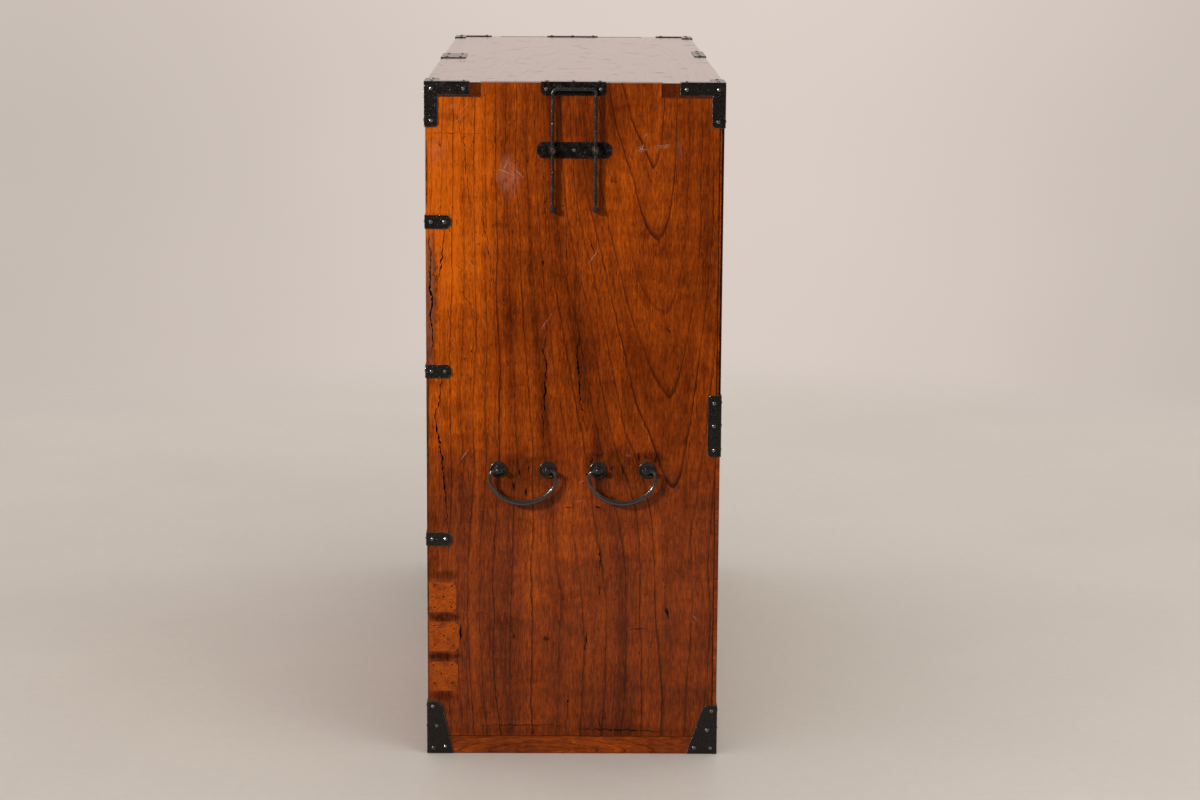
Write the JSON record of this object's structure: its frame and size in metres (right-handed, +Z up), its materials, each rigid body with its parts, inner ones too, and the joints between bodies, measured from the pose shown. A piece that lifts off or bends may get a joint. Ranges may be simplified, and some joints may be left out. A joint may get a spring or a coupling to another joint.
{
  "type": "clothing chest",
  "caption": "Low, deep wooden clothing chest with iron-bound corners, full-width drawers over two bays, swinging side handles and sliding pole loops.",
  "frame": {"origin": "on the floor, in the middle of the case", "axes": "+X to the chest's right side (seen from the front), +Y to its back, +Z up"},
  "size_m": [1.2006, 0.4439, 1.0031],
  "materials": {
    "lacquered_wood": "translucent orange-brown lacquer, worn",
    "plain_wood": "plain, unfinished",
    "iron": "forged, blackened, pitted"
  },
  "bodies": {
    "case": {"top_board": "lacquered_wood", "right_side_board": "lacquered_wood", "left_side_board": "lacquered_wood", "upper_divider": "lacquered_wood", "middle_divider": "lacquered_wood", "lower_divider": "lacquered_wood", "bay_partition": "lacquered_wood", "left_bay_divider": "lacquered_wood", "right_base_rail": "lacquered_wood", "left_base_rail": "lacquered_wood", "cross_base_rails": "lacquered_wood", "bottom_board": "plain_wood", "back_boards": "plain_wood", "right_bay_shelves": "plain_wood", "top_corner_brackets": "iron", "bottom_corner_plates": "iron", "front_edge_straps": "iron", "mid_edge_straps": "iron", "right_loop_plates": "iron", "left_loop_plates": "iron", "side_handle_posts": "iron", "case_nails": "iron"},
    "right_pole_loop": {"right_pole_loop": "iron"},
    "left_pole_loop": {"left_pole_loop": "iron"},
    "right_front_bail": {"right_front_bail": "iron"},
    "right_back_bail": {"right_back_bail": "iron"},
    "left_front_bail": {"left_front_bail": "iron"},
    "left_back_bail": {"left_back_bail": "iron"},
    "top_drawer": {"top_drawer_front": "lacquered_wood", "top_drawer_box": "plain_wood", "top_drawer_fittings": "iron"},
    "top_drawer_left_bail": {"top_drawer_left_bail": "iron"},
    "top_drawer_right_bail": {"top_drawer_right_bail": "iron"},
    "second_drawer": {"second_drawer_front": "lacquered_wood", "second_drawer_box": "plain_wood", "second_drawer_fittings": "iron"},
    "second_drawer_left_bail": {"second_drawer_left_bail": "iron"},
    "second_drawer_right_bail": {"second_drawer_right_bail": "iron"},
    "third_drawer": {"third_drawer_front": "lacquered_wood", "third_drawer_box": "plain_wood", "third_drawer_fittings": "iron"},
    "third_drawer_left_bail": {"third_drawer_left_bail": "iron"},
    "third_drawer_right_bail": {"third_drawer_right_bail": "iron"},
    "left_bay_upper_drawer": {"left_bay_upper_drawer_front": "lacquered_wood", "left_bay_upper_drawer_box": "plain_wood", "left_bay_upper_drawer_fittings": "iron"},
    "left_bay_upper_drawer_bail": {"left_bay_upper_drawer_bail": "iron"},
    "left_bay_lower_drawer": {"left_bay_lower_drawer_front": "lacquered_wood", "left_bay_lower_drawer_box": "plain_wood", "left_bay_lower_drawer_fittings": "iron"},
    "left_bay_lower_drawer_bail": {"left_bay_lower_drawer_bail": "iron"},
    "small_drawer_1": {"small_drawer_1": "lacquered_wood", "small_drawer_1_posts": "iron"},
    "small_drawer_1_bail": {"small_drawer_1_bail": "iron"},
    "small_drawer_2": {"small_drawer_2": "lacquered_wood", "small_drawer_2_posts": "iron"},
    "small_drawer_2_bail": {"small_drawer_2_bail": "iron"},
    "small_drawer_3": {"small_drawer_3": "lacquered_wood", "small_drawer_3_posts": "iron"},
    "small_drawer_3_bail": {"small_drawer_3_bail": "iron"}
  },
  "joints": [
    {"name": "right_loop_slide", "type": "slide", "parent": "case", "child": "right_pole_loop", "axis": [0, 0, 1], "range_m": [0, 0.0764]},
    {"name": "left_loop_slide", "type": "slide", "parent": "case", "child": "left_pole_loop", "axis": [0, 0, 1], "range_m": [0, 0.0764]},
    {"name": "right_front_bail_swing", "type": "hinge", "parent": "case", "child": "right_front_bail", "pos_m": [0.5959, -0.0741, 0.434], "axis": [0, -1, 0], "range_deg": [0, 170]},
    {"name": "right_back_bail_swing", "type": "hinge", "parent": "case", "child": "right_back_bail", "pos_m": [0.5959, 0.072, 0.434], "axis": [0, -1, 0], "range_deg": [0, 170]},
    {"name": "left_front_bail_swing", "type": "hinge", "parent": "case", "child": "left_front_bail", "pos_m": [-0.5959, -0.0741, 0.434], "axis": [0, 1, 0], "range_deg": [0, 170]},
    {"name": "left_back_bail_swing", "type": "hinge", "parent": "case", "child": "left_back_bail", "pos_m": [-0.5959, 0.072, 0.434], "axis": [0, 1, 0], "range_deg": [0, 170]},
    {"name": "top_drawer_slide", "type": "slide", "parent": "case", "child": "top_drawer", "axis": [0, -1, 0], "range_m": [0, 0.33]},
    {"name": "top_drawer_left_bail_swing", "type": "hinge", "parent": "top_drawer", "child": "top_drawer_left_bail", "pos_m": [-0.28, -0.2214, 0.9185], "axis": [-1, 0, 0], "range_deg": [0, 170]},
    {"name": "top_drawer_right_bail_swing", "type": "hinge", "parent": "top_drawer", "child": "top_drawer_right_bail", "pos_m": [0.28, -0.2214, 0.9185], "axis": [-1, 0, 0], "range_deg": [0, 170]},
    {"name": "second_drawer_slide", "type": "slide", "parent": "case", "child": "second_drawer", "axis": [0, -1, 0], "range_m": [0, 0.33]},
    {"name": "second_drawer_left_bail_swing", "type": "hinge", "parent": "second_drawer", "child": "second_drawer_left_bail", "pos_m": [-0.28, -0.2214, 0.7135], "axis": [-1, 0, 0], "range_deg": [0, 170]},
    {"name": "second_drawer_right_bail_swing", "type": "hinge", "parent": "second_drawer", "child": "second_drawer_right_bail", "pos_m": [0.28, -0.2214, 0.7135], "axis": [-1, 0, 0], "range_deg": [0, 170]},
    {"name": "third_drawer_slide", "type": "slide", "parent": "case", "child": "third_drawer", "axis": [0, -1, 0], "range_m": [0, 0.33]},
    {"name": "third_drawer_left_bail_swing", "type": "hinge", "parent": "third_drawer", "child": "third_drawer_left_bail", "pos_m": [-0.28, -0.2214, 0.4785], "axis": [-1, 0, 0], "range_deg": [0, 170]},
    {"name": "third_drawer_right_bail_swing", "type": "hinge", "parent": "third_drawer", "child": "third_drawer_right_bail", "pos_m": [0.28, -0.2214, 0.4785], "axis": [-1, 0, 0], "range_deg": [0, 170]},
    {"name": "left_bay_upper_drawer_slide", "type": "slide", "parent": "case", "child": "left_bay_upper_drawer", "axis": [0, -1, 0], "range_m": [0, 0.33]},
    {"name": "left_bay_upper_drawer_bail_swing", "type": "hinge", "parent": "left_bay_upper_drawer", "child": "left_bay_upper_drawer_bail", "pos_m": [-0.201, -0.2214, 0.27775], "axis": [-1, 0, 0], "range_deg": [0, 170]},
    {"name": "left_bay_lower_drawer_slide", "type": "slide", "parent": "case", "child": "left_bay_lower_drawer", "axis": [0, -1, 0], "range_m": [0, 0.33]},
    {"name": "left_bay_lower_drawer_bail_swing", "type": "hinge", "parent": "left_bay_lower_drawer", "child": "left_bay_lower_drawer_bail", "pos_m": [-0.201, -0.2214, 0.13325], "axis": [-1, 0, 0], "range_deg": [0, 170]},
    {"name": "small_drawer_1_slide", "type": "slide", "parent": "case", "child": "small_drawer_1", "axis": [0, -1, 0], "range_m": [0, 0.3]},
    {"name": "small_drawer_1_bail_swing", "type": "hinge", "parent": "small_drawer_1", "child": "small_drawer_1_bail", "pos_m": [0.3735, -0.201, 0.2775], "axis": [-1, 0, 0], "range_deg": [0, 170]},
    {"name": "small_drawer_2_slide", "type": "slide", "parent": "case", "child": "small_drawer_2", "axis": [0, -1, 0], "range_m": [0, 0.3]},
    {"name": "small_drawer_2_bail_swing", "type": "hinge", "parent": "small_drawer_2", "child": "small_drawer_2_bail", "pos_m": [0.3735, -0.201, 0.1835], "axis": [-1, 0, 0], "range_deg": [0, 170]},
    {"name": "small_drawer_3_slide", "type": "slide", "parent": "case", "child": "small_drawer_3", "axis": [0, -1, 0], "range_m": [0, 0.3]},
    {"name": "small_drawer_3_bail_swing", "type": "hinge", "parent": "small_drawer_3", "child": "small_drawer_3_bail", "pos_m": [0.3735, -0.201, 0.0895], "axis": [-1, 0, 0], "range_deg": [0, 170]}
  ]
}
